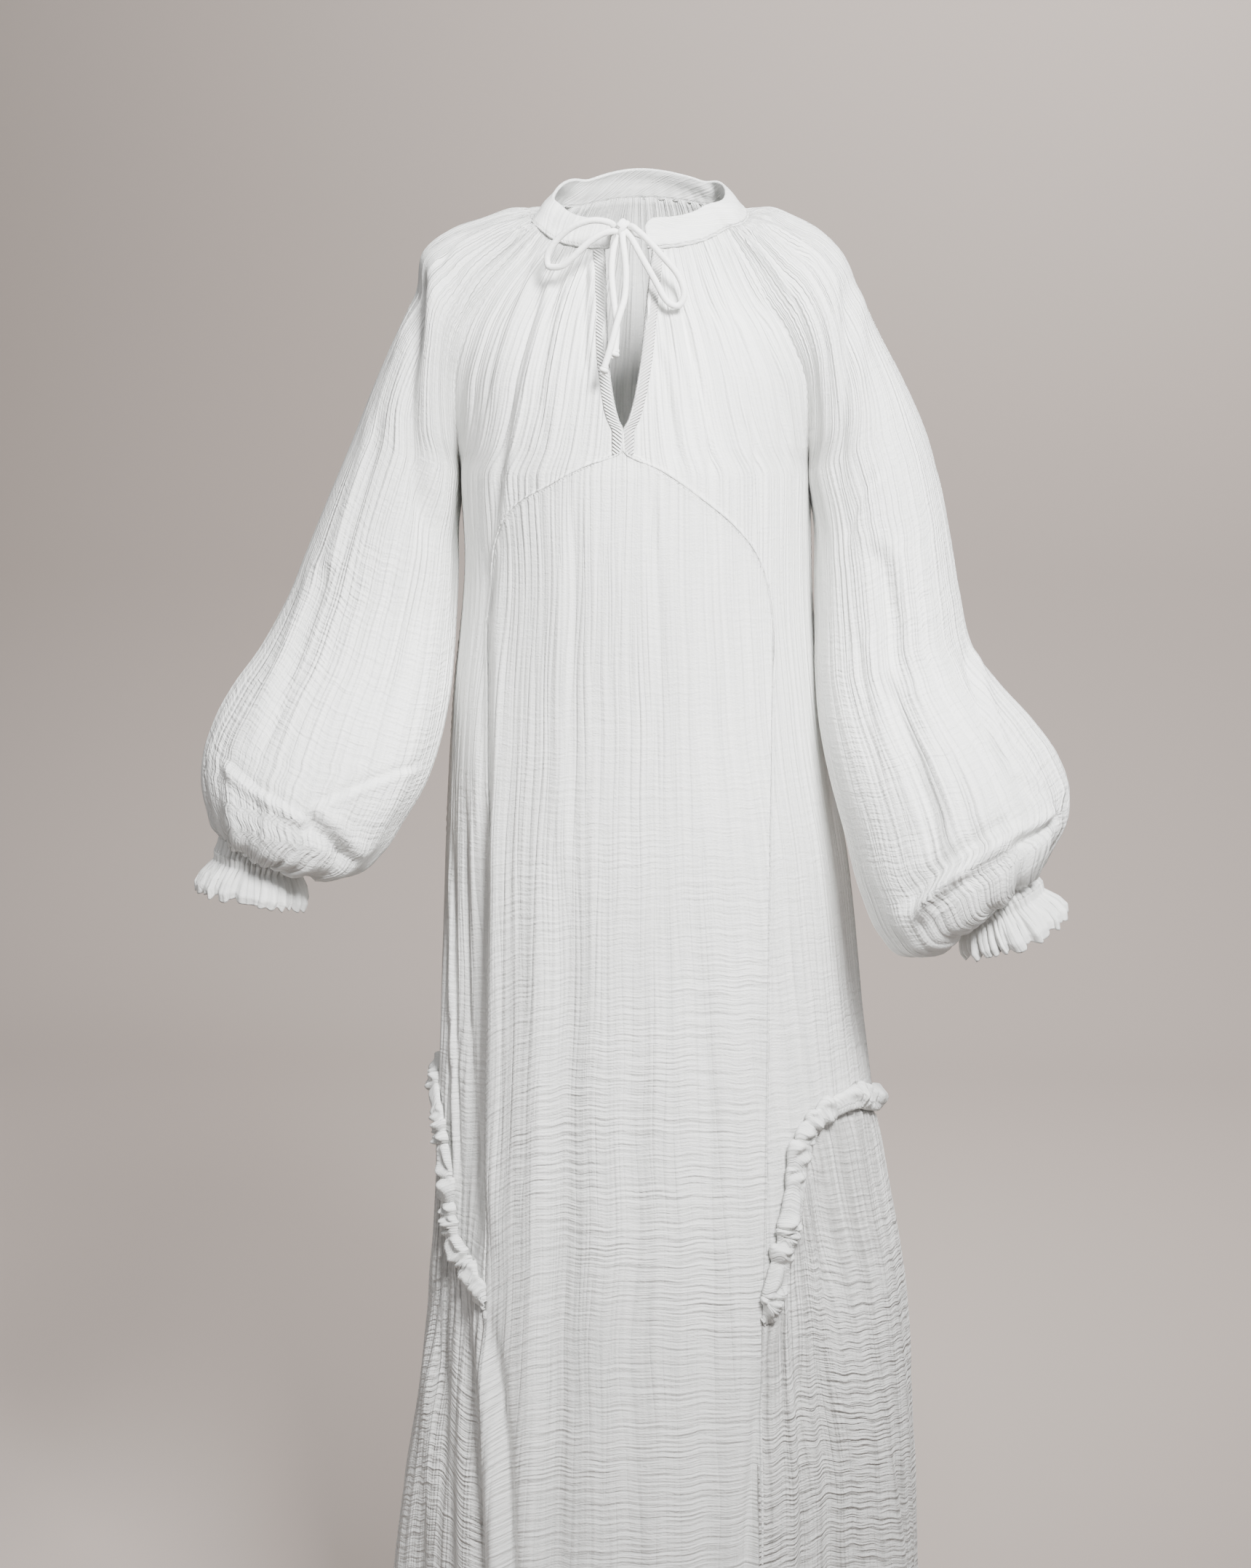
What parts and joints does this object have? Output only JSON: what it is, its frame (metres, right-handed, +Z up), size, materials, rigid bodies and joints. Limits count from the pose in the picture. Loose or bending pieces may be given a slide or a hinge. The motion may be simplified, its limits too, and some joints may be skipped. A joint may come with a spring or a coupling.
{
  "type": "kaftan dress",
  "caption": "Full-length loose kaftan dress of crinkled double cotton with a tied keyhole neck, balloon sleeves and flounced sides, held open in its worn form.",
  "frame": {"origin": "middle of the neck opening, level with the sides of the neck, where a neck and shoulders hold the dress", "axes": "+Z up, the front faces -Y, +X towards the wearer's left"},
  "size_m": [0.7315, 0.3723, 1.4228],
  "materials": {
    "muslin": "crinkled double-layer cotton, matte",
    "bias_cotton": "bias-cut cotton strip and cord, matte with fine diagonal ribs"
  },
  "bodies": {
    "root": {"neck_band": "muslin", "front_left": "muslin", "front_right": "muslin", "front_panel": "muslin", "back": "muslin", "sleeve_left": "muslin", "sleeve_right": "muslin", "cuff_left": "muslin", "cuff_right": "muslin", "inset_left": "muslin", "inset_right": "muslin", "ruffle_left": "muslin", "ruffle_right": "muslin", "slit_binding_left": "bias_cotton", "slit_binding_right": "bias_cotton", "tie_root_left": "bias_cotton", "tie_root_right": "bias_cotton", "tie_loop_left": "bias_cotton", "tie_loop_right": "bias_cotton", "tie_end_left": "bias_cotton", "tie_end_right": "bias_cotton", "tie_knot": "bias_cotton", "tie_tip_left": "bias_cotton", "tie_tip_right": "bias_cotton"}
  },
  "joints": []
}
